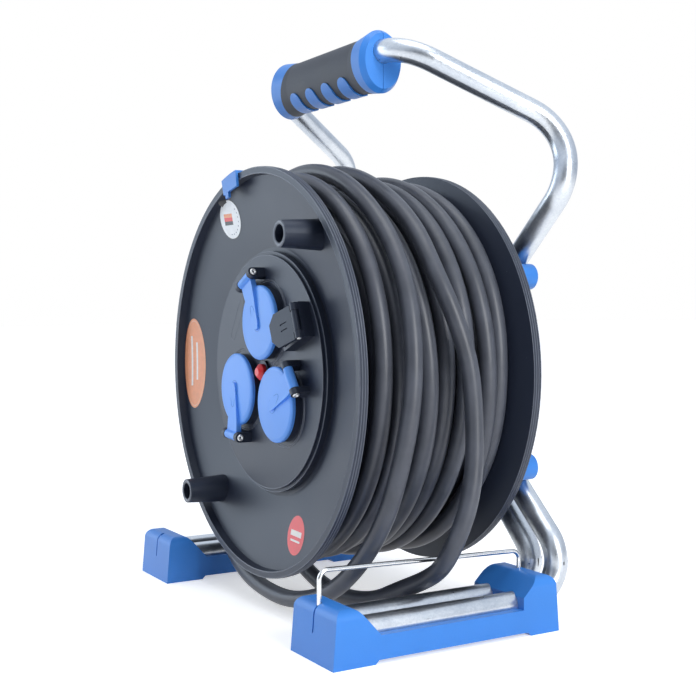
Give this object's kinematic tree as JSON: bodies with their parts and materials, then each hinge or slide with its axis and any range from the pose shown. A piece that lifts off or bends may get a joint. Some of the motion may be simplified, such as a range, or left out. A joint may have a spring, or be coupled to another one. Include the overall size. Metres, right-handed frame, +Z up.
{
  "type": "extension cable reel",
  "caption": "Cable reel: a plastic drum wound with rubber cable turns on a bent tube stand with feet and a hand grip, and its face holds outlets under sprung lids.",
  "frame": {"origin": "on the floor, midway between the feet and in the middle of the rigid pieces' depth", "axes": "+X to the right foot seen from the outlets, +Y back to the tubes behind the drum, +Z up"},
  "size_m": [0.323, 0.2002, 0.4051],
  "materials": {
    "galvanised_tube": "galvanised, with a soft spangle",
    "zinc_steel": "zinc plated",
    "bright_wire": "bright plated",
    "blue_plastic": "moulded, half gloss",
    "black_plastic": "moulded, satin",
    "black_rubber": "matt",
    "cable_rubber": "matt",
    "white_nylon": "satin",
    "wire_sheath": "satin",
    "brass": "bare",
    "red_plastic": "moulded"
  },
  "bodies": {
    "stand": {"handle_tube": "galvanised_tube", "stand_tube": "galvanised_tube", "foot_left": "blue_plastic", "foot_right": "blue_plastic", "foot_screws": "zinc_steel", "bail": "bright_wire", "axle_bracket": "blue_plastic", "clamp_caps": "blue_plastic", "clamp_screws": "zinc_steel", "axle": "zinc_steel", "axle_washers": "zinc_steel", "axle_ring": "zinc_steel", "axle_nut": "zinc_steel", "grip_front": "blue_plastic", "grip_rear": "blue_plastic", "grip_sleeve": "black_rubber", "grip_screws": "zinc_steel", "cable_tail": "cable_rubber", "plug_body": "black_rubber", "plug_pins": "brass"},
    "drum": {"front_flange": "black_plastic", "rear_flange": "black_plastic", "barrel": "black_plastic", "drum_screws": "zinc_steel", "bearing_bush": "white_nylon", "socket_panel": "black_plastic", "panel_gasket": "black_rubber", "panel_screws": "zinc_steel", "socket_insert_1": "black_plastic", "socket_insert_2": "black_plastic", "socket_insert_3": "black_plastic", "contact_sleeves": "brass", "earth_clips": "brass", "thermal_cutout": "black_plastic", "hinge_pins": "bright_wire", "lid_springs": "bright_wire", "flap_housing": "black_plastic", "flap_pin": "bright_wire", "edge_clip": "blue_plastic", "cable_gland": "black_plastic", "cable_lead": "cable_rubber", "terminal_block": "white_nylon", "internal_wires": "wire_sheath", "cable_core": "cable_rubber", "cable_turns": "cable_rubber"},
    "lid_1": {"lid_1": "blue_plastic", "lid_seal_1": "black_rubber"},
    "lid_2": {"lid_2": "blue_plastic", "lid_seal_2": "black_rubber"},
    "lid_3": {"lid_3": "blue_plastic", "lid_seal_3": "black_rubber"},
    "flap": {"flap": "black_plastic"},
    "reset_button": {"reset_button": "red_plastic"}
  },
  "joints": [
    {"name": "drum_spin", "type": "hinge", "parent": "stand", "child": "drum", "pos_m": [0, -0.00385, 0.1695], "axis": [0, 1, 0], "continuous": true, "deforming": ["cable_tail"]},
    {"name": "lid_1_hinge", "type": "hinge", "parent": "drum", "child": "lid_1", "pos_m": [-0.01135, -0.07465, 0.23515], "axis": [-0.891, 0, -0.454], "range_deg": [0, 105], "stiffness_Nm_per_rad": 0.01},
    {"name": "lid_2_hinge", "type": "hinge", "parent": "drum", "child": "lid_2", "pos_m": [-0.03504, -0.07465, 0.12144], "axis": [0.9976, 0, -0.0698], "range_deg": [0, 105], "stiffness_Nm_per_rad": 0.01},
    {"name": "lid_3_hinge", "type": "hinge", "parent": "drum", "child": "lid_3", "pos_m": [0.05643, -0.07465, 0.16777], "axis": [-0.5736, 0, 0.8192], "range_deg": [0, 105], "stiffness_Nm_per_rad": 0.01},
    {"name": "flap_hinge", "type": "hinge", "parent": "drum", "child": "flap", "pos_m": [0.065, -0.07535, 0.2069], "axis": [-0.3584, 0, 0.9336], "range_deg": [-12, 80]},
    {"name": "reset_press", "type": "slide", "parent": "drum", "child": "reset_button", "axis": [0, 1, 0], "range_m": [0, 0.002], "stiffness_N_per_m": 500}
  ]
}
